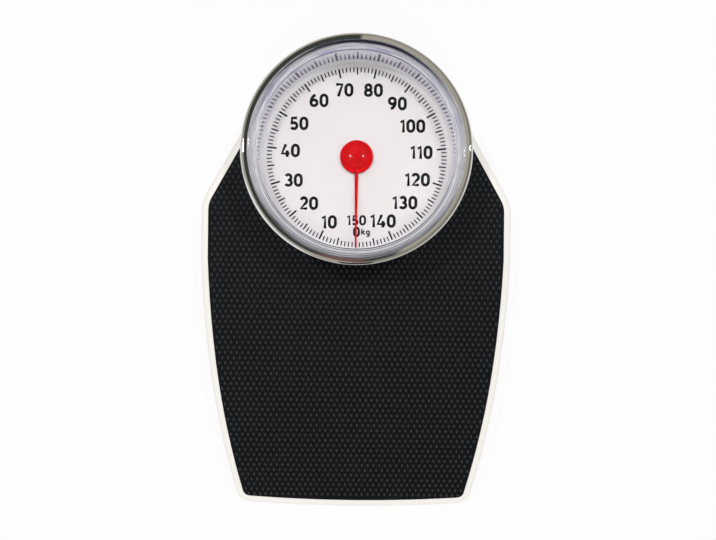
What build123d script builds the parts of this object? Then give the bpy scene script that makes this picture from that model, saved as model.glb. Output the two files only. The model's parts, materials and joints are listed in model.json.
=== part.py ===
from build123d import *
import os
from math import acos, cos, hypot, pi, radians, sin, tan

os.makedirs("parts", exist_ok=True)

# Mechanical bathroom scale with a large raised dial, in millimetres.
# Origin: on the floor, under the centre of the whole scale.
# +Y runs from the user's heels to the dial, +X to the user's right, +Z up.

# Overall size
overall_length = 449.0
platform_width = 310.0
bezel_radius = 102.1
dial_y = overall_length / 2 - bezel_radius
heel_y = -overall_length / 2
half_width = platform_width / 2

# Plan outline of the platform
heel_bow = 4.7
heel_corner_x = 116.5
side_middle = (144.6, -85.0)
wide_start_y = 26.5
shoulder_y = 83.3
far_corner = (83.4, 212.0)
heel_round = 15.5
shoulder_round = 33.0
far_round = 30.0

# Side view of the platform: flat, then a long gentle fall towards the heels
cover_top = 42.0
fall_start_y = -71.0
fall_radius = 1270.0
steel = 1.0
skirt_bottom = 14.0
cover_round = 5.0
room_round = 3.5
mat_border = 8.0
mat_gap = 0.1
mat_recess = 1.0
mat_thickness = 2.0
mat_round = 0.7
collar_depth = 5.0
platform_travel = 1.5

# Base pan and feet
pan_bottom = 4.0
pan_rim = 21.0
pan_gap = 3.0
pan_floor = pan_bottom + steel
pan_round = 4.0
pan_ribs = ((-120.0, 190.0), (-20.0, 230.0))
rib_width = 12.0
rib_height = 2.5
foot_pads = {
    "foot_heel_left": (-70.0, -197.0),
    "foot_heel_right": (70.0, -197.0),
    "foot_dial_left": (-80.0, 178.0),
    "foot_dial_right": (80.0, 178.0),
}
foot_radius = 11.0
foot_bevel = 1.0
plug_radius = 4.0
plug_lip = 1.5
plug_head = 2.0

# Lever work: long levers turn at the heel end, short levers at the dial end
lever_z = 22.0
heel_fulcrum = (100.0, -188.0)
dial_fulcrum = (118.0, 88.0)
bearing_arm = 36.0
nose_y = 100.0
nose_half = 12.0
lever_thick = 3.0
lever_half_height = 5.0
lever_tail = 9.0
knife_pin_radius = 2.5
knife_pin_half = 13.0
bearing_gap = 0.15
notch_half_angle = radians(30)
notch_half = 4.6
ear_inner = 9.0
ear_thick = 2.0
ear_half = 10.0
ear_tip_half = 8.0
link_spacing = 8.0
link_wall = 2.5
link_gap = 0.3
link_taper = 2.0
nose_bottom = 20.0
nose_top = 26.0
nose_plate_top = 28.0
nose_plate_y = (77.0, 100.5)
link_y = (heel_fulcrum[1] + dial_fulcrum[1]) / 2
lever_overhang = 2.0
lever_slim_length = 20.0
short_lever_end = 4.0
link_window_x = (2.4, 2.6)
link_round = 2.4
bracket_round = 1.5

# Rack and pinion
pinion_teeth = 12
gear_module = 0.5
pressure_angle = radians(20)
tooth_backlash = 0.06
pinion_z = (47.6, 52.4)
rack_z = (48.0, 52.0)
rack_back_x = 8.5
rack_teeth = 18
rack_teeth_before = 3
rack_end_y = 158.0
lug_x = 11.2
lug_half = 4.0
lug_z = (46.5, 55.5)
spindle_radius = 1.5
running_gap = 0.05
spindle_tail = 1.5
spindle_collar = 2.3
spindle_collar_gap = 0.1
rack_lead = 1.5
lug_round = 1.2
slot_room = 0.5
pinion_pitch_radius = pinion_teeth * gear_module / 2
tooth_pitch = pi * gear_module
rack_travel = 2 * pi * pinion_pitch_radius

# Bell crank between the lever nose and the rack
crank_y = 116.0
crank_out_arm = 28.0
crank_x = (11.5, 14.5)
crank_hub_x = (9.0, 16.0)
crank_hub_radius = 4.5
crank_pin_radius = 2.0
drive_pin_radius = 1.25
drive_pin_gap = 0.3
finger_radius = 1.5
finger_gap = 0.2
finger_y = 98.5
elbow_at = (106.0, 30.2)
elbow_radius = 2.0
crank_swing = rack_travel / crank_out_arm
finger_travel = platform_travel / bearing_arm * (finger_y - heel_fulcrum[1])
crank_in_arm = finger_travel / 2 / sin(crank_swing / 2)
crank_z = nose_plate_top + finger_radius + finger_gap - finger_travel / 2
pull_y = 108.5
pull_z = crank_z + (crank_y - pull_y) * tan(crank_swing / 2)
pull_pin_radius = 0.8
pull_pin_x = 18.2
pull_spring_x = 16.4
pull_spring_radius = 1.6
pull_spring_wire = 0.5
pull_spring_gap = 0.1
crank_ear_x = (6.5, 16.5)
crank_ear_half = 5.0
crank_foot_y = (106.5, 122.0)
crank_pin_x = (6.0, 19.0)

# Gear frame
lower_plate_z = (43.0, 45.0)
upper_plate_z = (56.0, 58.0)
gear_plate_x = (-20.0, 26.0)
gear_plate_y = (107.0, 154.0)
gear_pillars = ((-15.0, 113.0), (-15.0, 148.0), (21.5, 148.0), (22.0, 115.0))
pillar_radius = 2.5
pillar_rivet = 1.5
guide_y = (134.0, 150.0)
guide_x = (0.2, 11.0)
guide_top = 54.0
guide_gap = 0.3
gear_plate_round = 4.0
crank_slot_width = 6.0
crank_slot_spare = 3.5

# Main spring and zero adjustment
spring_y = 87.0
spring_radius = 9.0
spring_wire = 2.6
bracket_y = (92.0, 106.0)
bracket_x = (20.0, 22.0)
bracket_shoulder_z = 48.0
bracket_tip = (3.0, 2.0)
adjust_pivot = (100.0, 58.2)
adjust_z = (58.3, 60.8)
adjust_size = (50.0, 26.0)
adjust_mid_y = 91.0
adjust_arm = 12.0
wheel_at = (-31.0, 179.0)
wheel_radius = 14.0
wheel_z = (46.0, 51.0)
wheel_notches = 36
wheel_notch = 0.8
screw_radius = 2.5
screw_z = (40.5, 62.6)
post_reach = 18.0
post_size = (16.0, 2.0)
post_foot = 22.0
shelf_z = (42.5, 52.5)
shelf_width = 14.0
shelf_thick = 2.0

# Dial head
neck_radius = 75.0
neck_wall = 2.5
neck_bottom = 33.0
neck_top = 49.0
neck_hole_radius = 78.5
mat_hole_radius = 81.0
bowl_radius = 98.9
bowl_rim = 84.0
bowl_wall = 2.3
bowl_flare = ((81.0, 55.0), (93.0, 60.0), (98.9, 66.5))
flare_middles = ((76.8, 53.3), (97.2, 62.3))
bowl_inside = ((84.0, 63.0), (82.0, 60.0), (72.5, 55.0))
leg_circle = 70.5
leg_radius = 5.0
leg_screw_radius = 2.0
leg_screw_top = 20.0
leg_screw_head = 2.0
dial_z = (63.0, 64.0)
dial_plate_radius = 91.0
dial_plate_hole = 4.0
fit_gap = 0.1
surround_inner = 87.9
surround_top = 71.9
surround_edge = 0.6
band_radius = (87.6, 89.4)
band_flange_z = (84.0, 85.5)
seal_top = 86.5
lens_radius = 95.6
lens_z = (90.5, 92.5)
lens_round = 1.2
lens_skirt_radius = (87.7, 88.0)
lens_fillet = 0.6
key_width = 1.6
key_height = 2.0
bezel_shelf = (96.4, 86.5)
bezel_inner_edge = 87.5
bezel_lip = (95.8, 92.7)
bezel_crest = (99.2, 94.2)
bezel_middles = ((97.3, 93.85), (101.25, 93.2))
bezel_wide_z = 91.0
bezel_skirt = (100.2, 67.0)
hub_radius = 15.45
hub_edge = 0.6
hub_step_radius = 10.8
hub_step = 0.7
hub_z = (65.0, 66.6, 69.3)
hub_recess = 1.0
needle_length = 84.9
needle_root = (1.75, 0.9)
needle_tip = (0.6, 0.5)


def plan_outline(inset):
    """Outline of the platform seen from above, drawn in by inset."""
    corner_y = heel_y + heel_bow
    with BuildSketch() as outline:
        with BuildLine():
            ThreePointArc((-heel_corner_x, corner_y), (0, heel_y), (heel_corner_x, corner_y))
            for side in (1, -1):
                ThreePointArc(
                    (side * heel_corner_x, corner_y),
                    (side * side_middle[0], side_middle[1]),
                    (side * half_width, wide_start_y),
                )
                Line((side * half_width, wide_start_y), (side * half_width, shoulder_y))
                Line((side * half_width, shoulder_y), (side * far_corner[0], far_corner[1]))
            Line(far_corner, (-far_corner[0], far_corner[1]))
        make_face()
        for y, radius in ((corner_y, heel_round), (shoulder_y, shoulder_round), (far_corner[1], far_round)):
            fillet(outline.vertices().filter_by_position(Axis.Y, y - 0.5, y + 0.5), radius=radius)
        if inset:
            offset(amount=-inset)
    return outline.sketch


def below_surface(level):
    """Side view, along Y and Z, of all that lies under the platform surface at this level."""
    far_y = overall_length
    floor_z = -10.0
    with BuildSketch(Plane.YZ) as side:
        with BuildLine():
            Line((far_y, level), (fall_start_y, level))
            fall = JernArc((fall_start_y, level), (-1, 0), fall_radius - cover_top + level, 12)
            end = fall @ 1
            Polyline(end, (end.X, floor_z), (far_y, floor_z), (far_y, level))
        make_face()
    return side.sketch


def surface_fall(y):
    """How far the platform has fallen below its flat part at this y."""
    return max(0.0, fall_start_y - y) ** 2 / (2 * fall_radius)


def slab(inset, bottom, level, edge_round=0.0):
    """Solid with the platform's outline whose top follows the platform surface."""
    with BuildPart() as body:
        with BuildSketch(Plane.XY.offset(bottom)):
            add(plan_outline(inset))
        extrude(amount=level - bottom)
        extrude(to_extrude=below_surface(level), amount=platform_width, both=True, mode=Mode.INTERSECT)
        if edge_round:
            upper = body.edges().filter_by(lambda e: abs(e.tangent_at(0.5).Z) < 0.5)
            upper = upper.filter_by(lambda e: e.center().Z > bottom + 1)
            fillet(upper.filter_by(lambda e: e.length < 1.8 * half_width), radius=edge_round)
    return body.part


def turned(points, arcs=()):
    """Face on the half section of the dial head, as radius and height, ready to revolve."""
    with BuildSketch(Plane(origin=(0, dial_y, 0), x_dir=(1, 0, 0), z_dir=(0, -1, 0))) as section:
        with BuildLine():
            for k, point in enumerate(points):
                following = points[(k + 1) % len(points)]
                if k in dict(arcs):
                    ThreePointArc(point, dict(arcs)[k], following)
                else:
                    Line(point, following)
        make_face()
    return section.sketch


def finish(name, part):
    """Label a finished piece and write it to its own file."""
    part.label = name
    export_step(part, f"parts/{name}.step")


def finish_pair(name, part):
    """Write a right-hand piece and its mirror image for the left-hand side."""
    finish(f"{name}_right", part)
    finish(f"{name}_left", mirror(part, about=Plane.YZ))


dial_axis = Axis((0, dial_y, 0), (0, 0, 1))


# Platform cover: pressed steel with a skirt, a seat for the mat and a collar round the neck
seat_level = cover_top - mat_recess
room_level = seat_level - steel
cover_body = slab(0, skirt_bottom, cover_top, cover_round)
cover_room = slab(steel, skirt_bottom, room_level, room_round)
below_seat = slab(0, skirt_bottom, seat_level)
seat_block = slab(mat_border, skirt_bottom, cover_top + mat_thickness)
mat_block = slab(mat_border + mat_gap, skirt_bottom, seat_level + mat_thickness, mat_round)

with BuildPart() as mat_seat:
    add(seat_block)
    add(below_seat, mode=Mode.SUBTRACT)

with BuildPart() as platform_cover:
    add(cover_body)
    add(mat_seat.part, mode=Mode.SUBTRACT)
    add(cover_room, mode=Mode.SUBTRACT)
    with BuildSketch(Plane.XY.offset(seat_level - collar_depth)):
        with Locations((0, dial_y)):
            Circle(neck_hole_radius + steel)
    extrude(amount=collar_depth - steel)
    with BuildSketch(Plane.XY.offset(skirt_bottom)):
        with Locations((0, dial_y)):
            Circle(neck_hole_radius)
    extrude(amount=cover_top, mode=Mode.SUBTRACT)
finish("platform_cover", platform_cover.part)

# Rubber mat: lies in the seat and ends in a ring round the neck
with BuildPart() as rubber_mat:
    add(mat_block)
    add(below_seat, mode=Mode.SUBTRACT)
    with BuildSketch(Plane.XY):
        with Locations((0, dial_y)):
            Circle(mat_hole_radius)
    extrude(amount=2 * cover_top, mode=Mode.SUBTRACT)
finish("rubber_mat", rubber_mat.part)


# Base pan: a shallow pressed tray with stiffening ribs
leg_spots = [
    (sx * leg_circle * cos(pi / 4), dial_y + sy * leg_circle * sin(pi / 4))
    for sx in (1, -1)
    for sy in (1, -1)
]

with BuildPart() as base_pan:
    with BuildSketch(Plane.XY.offset(pan_bottom)):
        add(plan_outline(steel + pan_gap))
    extrude(amount=pan_rim - pan_bottom)
    fillet(base_pan.faces().sort_by(Axis.Z)[0].edges(), radius=pan_round)
    with BuildSketch(Plane.XY.offset(pan_floor + pan_round)):
        add(plan_outline(2 * steel + pan_gap))
    extrude(amount=pan_rim - pan_floor - pan_round, mode=Mode.SUBTRACT)
    with BuildSketch(Plane.XY.offset(pan_floor)):
        add(plan_outline(2 * steel + pan_gap + pan_round))
    extrude(amount=pan_round, mode=Mode.SUBTRACT, taper=-44)
    for rib_y, rib_length in pan_ribs:
        with BuildSketch(Plane.XY.offset(pan_floor)):
            with Locations((0, rib_y)):
                SlotOverall(rib_length, rib_width)
        extrude(amount=rib_height)
        with BuildSketch(Plane.XY.offset(pan_bottom)):
            with Locations((0, rib_y)):
                SlotOverall(rib_length - 2 * steel, rib_width - 2 * steel)
        extrude(amount=rib_height, mode=Mode.SUBTRACT)
    with BuildSketch(Plane.XY):
        with Locations(*foot_pads.values()):
            Circle(plug_radius)
        with Locations(*leg_spots):
            Circle(leg_screw_radius)
    extrude(amount=pan_rim, mode=Mode.SUBTRACT)
finish("base_pan", base_pan.part)

# Rubber feet: a pad under the pan and a plug that snaps through it
for foot_name, foot_at in foot_pads.items():
    with BuildPart() as foot_pad:
        with BuildSketch():
            with Locations(foot_at):
                Circle(foot_radius)
        extrude(amount=pan_bottom)
        chamfer(foot_pad.edges().group_by(Axis.Z)[0], length=foot_bevel)
        with BuildSketch(Plane.XY.offset(pan_bottom)):
            with Locations(foot_at):
                Circle(plug_radius)
        extrude(amount=steel)
        with BuildSketch(Plane.XY.offset(pan_floor)):
            with Locations(foot_at):
                Circle(plug_radius + plug_lip)
        extrude(amount=plug_head, taper=20)
    finish(foot_name, foot_pad.part)


def knife_bracket(at, flange_z, tip_z, notch_z):
    """Flange with two ears, each with a V notch for a knife pin. It reaches from flange_z to tip_z."""
    x, y = at
    flange = ear_thick if tip_z > flange_z else -ear_thick
    with BuildPart() as bracket:
        with BuildSketch(Plane.XY.offset(flange_z)):
            with Locations((x, y)):
                RectangleRounded(2 * (ear_inner + ear_thick), 2 * ear_half, bracket_round)
        extrude(amount=flange)
        for left in (x - ear_inner - ear_thick, x + ear_inner):
            with BuildSketch(Plane(origin=(left, y, 0), x_dir=(0, 1, 0), z_dir=(1, 0, 0))):
                with BuildLine():
                    Polyline(
                        (-ear_half + bracket_round, flange_z),
                        (-ear_tip_half, tip_z),
                        (-notch_half, tip_z),
                        (0, notch_z),
                        (notch_half, tip_z),
                        (ear_tip_half, tip_z),
                        (ear_half - bracket_round, flange_z),
                        close=True,
                    )
                make_face()
            extrude(amount=ear_thick)
    return bracket.part


# Knife bearings: fulcrum brackets stand on the pan, bearing brackets hang from the platform
notch_depth = (knife_pin_radius + bearing_gap) / sin(notch_half_angle)
notch_height = notch_half / tan(notch_half_angle)
long_slope = (heel_fulcrum[0] - nose_half) / (nose_y - heel_fulcrum[1])
long_link_x = heel_fulcrum[0] - long_slope * (link_y - heel_fulcrum[1])
short_link_x = long_link_x + link_spacing
short_slope = (dial_fulcrum[0] - short_link_x) / (dial_fulcrum[1] - link_y)
heel_bearing = (heel_fulcrum[0] - long_slope * bearing_arm, heel_fulcrum[1] + bearing_arm)
dial_bearing = (dial_fulcrum[0] - short_slope * bearing_arm, dial_fulcrum[1] - bearing_arm)

for end, fulcrum_at in (("heel", heel_fulcrum), ("dial", dial_fulcrum)):
    notch_z = lever_z - notch_depth
    finish_pair(
        f"fulcrum_bracket_{end}", knife_bracket(fulcrum_at, pan_floor, notch_z + notch_height, notch_z)
    )

for end, bearing_at in (("heel", heel_bearing), ("dial", dial_bearing)):
    notch_z = lever_z + notch_depth
    ceiling = room_level - surface_fall(bearing_at[1] - ear_half)
    with BuildPart() as bearing_bracket:
        add(knife_bracket(bearing_at, ceiling, notch_z - notch_height, notch_z))
        with BuildSketch(Plane.XY.offset(ceiling)):
            with Locations(bearing_at):
                RectangleRounded(2 * (ear_inner + ear_thick), 2 * ear_half, bracket_round)
        extrude(amount=cover_top - ceiling)
        add(cover_room, mode=Mode.INTERSECT)
    finish_pair(f"bearing_bracket_{end}", bearing_bracket.part)


def lever_plane(fulcrum, slope, toward):
    """Upright plane along a lever, with its origin on the floor under the fulcrum."""
    return Plane(origin=(*fulcrum, 0), x_dir=(-slope, toward, 0), z_dir=(toward, slope, 0))


def cross_pins(places):
    """Knife pins along X at the given plan positions."""
    with BuildPart() as pins:
        for x, y in places:
            with BuildSketch(Plane(origin=(x - knife_pin_half, y, lever_z), x_dir=(0, 1, 0), z_dir=(1, 0, 0))):
                Circle(knife_pin_radius)
            extrude(amount=2 * knife_pin_half)
    return pins.part


# Long levers: flat bars on edge that run from the heel corners to a common nose
long_pins = cross_pins((heel_fulcrum, heel_bearing))
long_stretch = hypot(1, long_slope)
long_low = lever_z - lever_half_height
long_high = lever_z + lever_half_height
slim_end_y = nose_plate_y[0] - lever_slim_length

with BuildPart() as long_lever:
    with BuildSketch(lever_plane(heel_fulcrum, long_slope, 1)):
        with BuildLine():
            Polyline(
                (-lever_tail, long_low),
                (-lever_tail, long_high),
                (long_stretch * -heel_fulcrum[1], long_high),
                (long_stretch * (nose_plate_y[0] - heel_fulcrum[1]), nose_top),
                (long_stretch * (nose_y + lever_overhang - heel_fulcrum[1]), nose_top),
                (long_stretch * (nose_y + lever_overhang - heel_fulcrum[1]), nose_bottom),
                (long_stretch * (slim_end_y - heel_fulcrum[1]), nose_bottom),
                (long_stretch * -heel_fulcrum[1], long_low),
                close=True,
            )
        make_face()
    extrude(amount=lever_thick / 2, both=True)
    add(long_pins, mode=Mode.SUBTRACT)
finish_pair("long_lever", long_lever.part)
finish_pair("long_lever_pins", long_pins)

# Nose plate: joins the long levers, carries the main spring and the crank's finger
nose_wide = nose_half + long_slope * (nose_y - nose_plate_y[0]) + 3
with BuildPart() as nose_plate:
    with BuildSketch(Plane.XY.offset(nose_top)):
        with BuildLine():
            Polyline(
                (-nose_wide, nose_plate_y[0]),
                (nose_wide, nose_plate_y[0]),
                (nose_half + 4, nose_plate_y[1]),
                (-nose_half - 4, nose_plate_y[1]),
                close=True,
            )
        make_face()
    extrude(amount=nose_plate_top - nose_top)
finish("nose_plate", nose_plate.part)

# Short levers: from the dial corners to the middle of the long levers
short_pins = cross_pins((dial_fulcrum, dial_bearing))
short_reach = hypot(1, short_slope) * (dial_fulcrum[1] - link_y + short_lever_end)
with BuildPart() as short_lever:
    with BuildSketch(lever_plane(dial_fulcrum, short_slope, -1)):
        with BuildLine():
            Polyline(
                (-lever_tail, long_low),
                (-lever_tail, long_high),
                (short_reach / 2, long_high),
                (short_reach, long_high - link_taper),
                (short_reach, long_low),
                close=True,
            )
        make_face()
    extrude(amount=lever_thick / 2, both=True)
    add(short_pins, mode=Mode.SUBTRACT)
finish_pair("short_lever", short_lever.part)
finish_pair("short_lever_pins", short_pins)

# Link stirrups: hang from the long levers and hold up the ends of the short levers
window_x = (long_link_x - link_window_x[0], short_link_x + link_window_x[1])
window_z = (long_low - link_gap, long_high)
window_size = (window_x[1] - window_x[0], window_z[1] - window_z[0])
with BuildPart() as link_stirrup:
    with BuildSketch(Plane(origin=(0, link_y, 0), x_dir=(1, 0, 0), z_dir=(0, -1, 0))):
        with Locations((sum(window_x) / 2, sum(window_z) / 2)):
            RectangleRounded(window_size[0] + 2 * link_wall, window_size[1] + 2 * link_wall, link_round)
            Rectangle(*window_size, mode=Mode.SUBTRACT)
    extrude(amount=lever_thick / 2, both=True)
finish_pair("link_stirrup", link_stirrup.part)


# Spring bracket: a tall U whose ears end in knife edges for the adjusting plate
with BuildPart() as spring_bracket:
    with BuildSketch(Plane.XY.offset(pan_floor)):
        with Locations((0, sum(bracket_y) / 2)):
            Rectangle(2 * bracket_x[1], bracket_y[1] - bracket_y[0])
    extrude(amount=ear_thick)
    for left in (-bracket_x[1], bracket_x[0]):
        with BuildSketch(Plane(origin=(left, 0, 0), x_dir=(0, 1, 0), z_dir=(1, 0, 0))):
            with BuildLine():
                Polyline(
                    (bracket_y[0], pan_floor),
                    (bracket_y[0], bracket_shoulder_z),
                    (adjust_pivot[0] - bracket_tip[0], adjust_pivot[1] - bracket_tip[1]),
                    adjust_pivot,
                    (adjust_pivot[0] + bracket_tip[0], adjust_pivot[1] - bracket_tip[1]),
                    (bracket_y[1], bracket_shoulder_z),
                    (bracket_y[1], pan_floor),
                    close=True,
                )
            make_face()
        extrude(amount=ear_thick)
finish("spring_bracket", spring_bracket.part)

# Adjusting plate: rocks on the spring bracket, holds the main spring, reaches to the zero screw
adjust_near_y = adjust_mid_y - adjust_size[1] / 2
with BuildPart() as adjust_plate:
    with BuildSketch(Plane.XY.offset(adjust_z[0])):
        with Locations((0, adjust_mid_y)):
            Rectangle(*adjust_size)
        with Locations((wheel_at[0], (adjust_near_y + wheel_at[1]) / 2)):
            Rectangle(adjust_arm, wheel_at[1] - adjust_near_y)
        with Locations(wheel_at):
            Circle(adjust_arm / 2)
        with Locations(wheel_at):
            Circle(screw_radius + 2 * running_gap, mode=Mode.SUBTRACT)
    extrude(amount=adjust_z[1] - adjust_z[0])
finish("adjust_plate", adjust_plate.part)

# Zero wheel and screw: turned by a fingertip under the rim of the dial head
with BuildPart() as zero_wheel:
    with BuildSketch(Plane.XY.offset(wheel_z[0])):
        with Locations(wheel_at):
            Circle(wheel_radius)
            with PolarLocations(wheel_radius, wheel_notches):
                RegularPolygon(wheel_notch, 4, mode=Mode.SUBTRACT)
            Circle(screw_radius, mode=Mode.SUBTRACT)
    extrude(amount=wheel_z[1] - wheel_z[0])
finish("zero_wheel", zero_wheel.part)

with BuildPart() as zero_screw:
    with BuildSketch(Plane.XY.offset(screw_z[0])):
        with Locations(wheel_at):
            Circle(screw_radius)
    extrude(amount=screw_z[1] - screw_z[0])
finish("zero_screw", zero_screw.part)

# Wheel bracket: a post with two shelves, above and below the zero wheel
with BuildPart() as wheel_bracket:
    with BuildSketch(Plane.XY.offset(pan_floor)):
        with Locations((wheel_at[0], wheel_at[1] - post_reach + (post_foot - post_size[1]) / 2)):
            Rectangle(post_size[0], post_foot)
    extrude(amount=ear_thick)
    with BuildSketch(Plane.XY.offset(pan_floor)):
        with Locations((wheel_at[0], wheel_at[1] - post_reach)):
            Rectangle(*post_size)
    extrude(amount=shelf_z[1] + shelf_thick - pan_floor)
    for shelf_bottom in shelf_z:
        with BuildSketch(Plane.XY.offset(shelf_bottom)):
            with Locations((wheel_at[0], wheel_at[1] - post_reach / 2)):
                Rectangle(shelf_width, post_reach)
            with Locations(wheel_at):
                Circle(shelf_width / 2)
                Circle(screw_radius + running_gap, mode=Mode.SUBTRACT)
        extrude(amount=shelf_thick)
finish("wheel_bracket", wheel_bracket.part)


# Pinion: twelve teeth with involute flanks
base_radius = pinion_pitch_radius * cos(pressure_angle)
root_radius = pinion_pitch_radius - 1.25 * gear_module
tip_radius = pinion_pitch_radius + gear_module


def involute(angle):
    """Involute function of a pressure angle."""
    return tan(angle) - angle


def flank_angle(radius):
    """Half the angle that a pinion tooth takes up at this radius."""
    half_tooth = (tooth_pitch / 2 - tooth_backlash) / 2 / pinion_pitch_radius
    here = acos(min(1.0, base_radius / radius))
    return half_tooth + involute(pressure_angle) - involute(here)


flank_radii = (root_radius, base_radius, (base_radius + tip_radius) / 2, tip_radius)
half_tooth_points = [(r, flank_angle(max(r, base_radius))) for r in flank_radii]
pinion_points = []
for tooth in range(pinion_teeth):
    turn = 2 * pi * tooth / pinion_teeth
    rising = [(r, turn - a) for r, a in half_tooth_points]
    falling = [(r, turn + a) for r, a in reversed(half_tooth_points)]
    pinion_points += [(r * cos(a), r * sin(a)) for r, a in rising + falling]

with BuildPart() as pinion:
    with BuildSketch(Plane.XY.offset(pinion_z[0])):
        with Locations((0, dial_y)):
            Polygon(*pinion_points, align=None)
            Circle(spindle_radius, mode=Mode.SUBTRACT)
    extrude(amount=pinion_z[1] - pinion_z[0])
finish("pinion", pinion.part)

# Spindle: runs in the two gear plates and carries the pointer
with BuildPart() as spindle:
    with BuildSketch(Plane.XY.offset(lower_plate_z[0] - spindle_tail)):
        with Locations((0, dial_y)):
            Circle(spindle_radius)
    extrude(amount=hub_z[0] + hub_recess - lower_plate_z[0] + spindle_tail)
    with BuildSketch(Plane.XY.offset(lower_plate_z[1] + spindle_collar_gap)):
        with Locations((0, dial_y)):
            Circle(spindle_collar)
    extrude(amount=pinion_z[0] - lower_plate_z[1] - spindle_collar_gap)
finish("spindle", spindle.part)

# Rack: straight teeth on the pinion side, a slotted lug for the crank pin on its back
rack_addendum = 0.7 * gear_module
rack_tip_x = pinion_pitch_radius - rack_addendum
rack_root_x = pinion_pitch_radius + 1.25 * gear_module
half_at_pitch = (tooth_pitch / 2 - tooth_backlash) / 2
half_at_tip = half_at_pitch - rack_addendum * tan(pressure_angle)
half_at_root = half_at_pitch + (rack_root_x - pinion_pitch_radius) * tan(pressure_angle)
tooth_ys = [dial_y + (k - rack_teeth_before + 0.5) * tooth_pitch for k in range(rack_teeth)]
rack_start_y = tooth_ys[0] - rack_lead
tooth_outline = []
for y in tooth_ys:
    tooth_outline += [
        (rack_root_x, y - half_at_root),
        (rack_tip_x, y - half_at_tip),
        (rack_tip_x, y + half_at_tip),
        (rack_root_x, y + half_at_root),
    ]
drive_at = (
    crank_y + crank_out_arm * sin(crank_swing / 2),
    crank_z + crank_out_arm * cos(crank_swing / 2),
)
slot_y = drive_at[0] + crank_out_arm * (crank_swing / 2 - sin(crank_swing / 2))
slot_z = (
    drive_at[1] - drive_pin_radius - slot_room,
    crank_z + crank_out_arm + drive_pin_radius + slot_room,
)

with BuildPart() as rack:
    with BuildSketch(Plane.XY.offset(rack_z[0])):
        with BuildLine():
            Polyline(
                (rack_back_x, rack_start_y),
                (rack_root_x, rack_start_y),
                *tooth_outline,
                (rack_root_x, rack_end_y),
                (rack_back_x, rack_end_y),
                close=True,
            )
        make_face()
    extrude(amount=rack_z[1] - rack_z[0])
    with BuildSketch(Plane(origin=(rack_back_x, 0, 0), x_dir=(0, 1, 0), z_dir=(1, 0, 0))):
        with Locations((slot_y, sum(lug_z) / 2)):
            RectangleRounded(2 * lug_half, lug_z[1] - lug_z[0], lug_round)
        with Locations((slot_y, sum(slot_z) / 2)):
            Rectangle(2 * (drive_pin_radius + drive_pin_gap), slot_z[1] - slot_z[0], mode=Mode.SUBTRACT)
    extrude(amount=lug_x - rack_back_x)
finish("rack", rack.part)

# Rack guide: a channel round the plain end of the rack
with BuildPart() as rack_guide:
    with BuildSketch(Plane(origin=(0, guide_y[0], 0), x_dir=(1, 0, 0), z_dir=(0, -1, 0))):
        with Locations((sum(guide_x) / 2, (lower_plate_z[1] + guide_top) / 2)):
            Rectangle(guide_x[1] - guide_x[0], guide_top - lower_plate_z[1])
        with Locations(((rack_tip_x + rack_back_x) / 2, sum(rack_z) / 2)):
            channel = (rack_back_x - rack_tip_x + 2 * guide_gap, rack_z[1] - rack_z[0] + 2 * guide_gap)
            Rectangle(*channel, mode=Mode.SUBTRACT)
    extrude(amount=-(guide_y[1] - guide_y[0]))
finish("rack_guide", rack_guide.part)

# Bell crank: its finger rests on the nose plate and its pin drives the rack
finger_at = (
    crank_y - crank_in_arm * cos(crank_swing / 2),
    crank_z + crank_in_arm * sin(crank_swing / 2),
)
crank_plane = Plane(origin=(crank_x[0], 0, 0), x_dir=(0, 1, 0), z_dir=(1, 0, 0))
with BuildPart() as bell_crank:
    hub_round = ((crank_y, crank_z), crank_hub_radius)
    elbow_round = (elbow_at, elbow_radius)
    for start_round, end_round in (
        (hub_round, (drive_at, 2 * drive_pin_radius)),
        (hub_round, elbow_round),
        (elbow_round, (finger_at, finger_radius)),
    ):
        with BuildSketch(crank_plane):
            for centre, radius in (start_round, end_round):
                with Locations(centre):
                    Circle(radius)
            make_hull()
        extrude(amount=crank_x[1] - crank_x[0])
    with BuildSketch(crank_plane):
        with Locations((pull_y, pull_z)):
            Circle(pull_pin_radius)
    extrude(amount=pull_pin_x - crank_x[0])
    with BuildSketch(Plane(origin=(crank_hub_x[0], 0, 0), x_dir=(0, 1, 0), z_dir=(1, 0, 0))):
        with Locations((crank_y, crank_z)):
            Circle(crank_hub_radius)
    extrude(amount=crank_hub_x[1] - crank_hub_x[0])
    with BuildSketch(Plane(origin=(rack_back_x + drive_pin_gap, 0, 0), x_dir=(0, 1, 0), z_dir=(1, 0, 0))):
        with Locations(drive_at):
            Circle(drive_pin_radius)
    extrude(amount=crank_x[0] - rack_back_x - drive_pin_gap)
    with BuildSketch(Plane(origin=(0, 0, 0), x_dir=(0, 1, 0), z_dir=(1, 0, 0))):
        with Locations((crank_y, crank_z)):
            Circle(crank_pin_radius + running_gap)
    extrude(amount=crank_pin_x[1], mode=Mode.SUBTRACT)
finish("bell_crank", bell_crank.part)

# Crank bracket and pin
with BuildPart() as crank_bracket:
    with BuildSketch(Plane.XY.offset(pan_floor)):
        with Locations(((sum(crank_ear_x) + ear_thick) / 2, sum(crank_foot_y) / 2)):
            Rectangle(crank_ear_x[1] + ear_thick - crank_ear_x[0], crank_foot_y[1] - crank_foot_y[0])
    extrude(amount=ear_thick)
    for left in crank_ear_x:
        with BuildSketch(Plane(origin=(left, 0, 0), x_dir=(0, 1, 0), z_dir=(1, 0, 0))):
            with Locations((crank_y, crank_z)):
                Circle(crank_ear_half)
            with Locations((crank_y, (pan_floor + crank_z) / 2)):
                Rectangle(2 * crank_ear_half, crank_z - pan_floor)
            with Locations((crank_y, crank_z)):
                Circle(crank_pin_radius, mode=Mode.SUBTRACT)
        extrude(amount=ear_thick)
finish("crank_bracket", crank_bracket.part)

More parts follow.
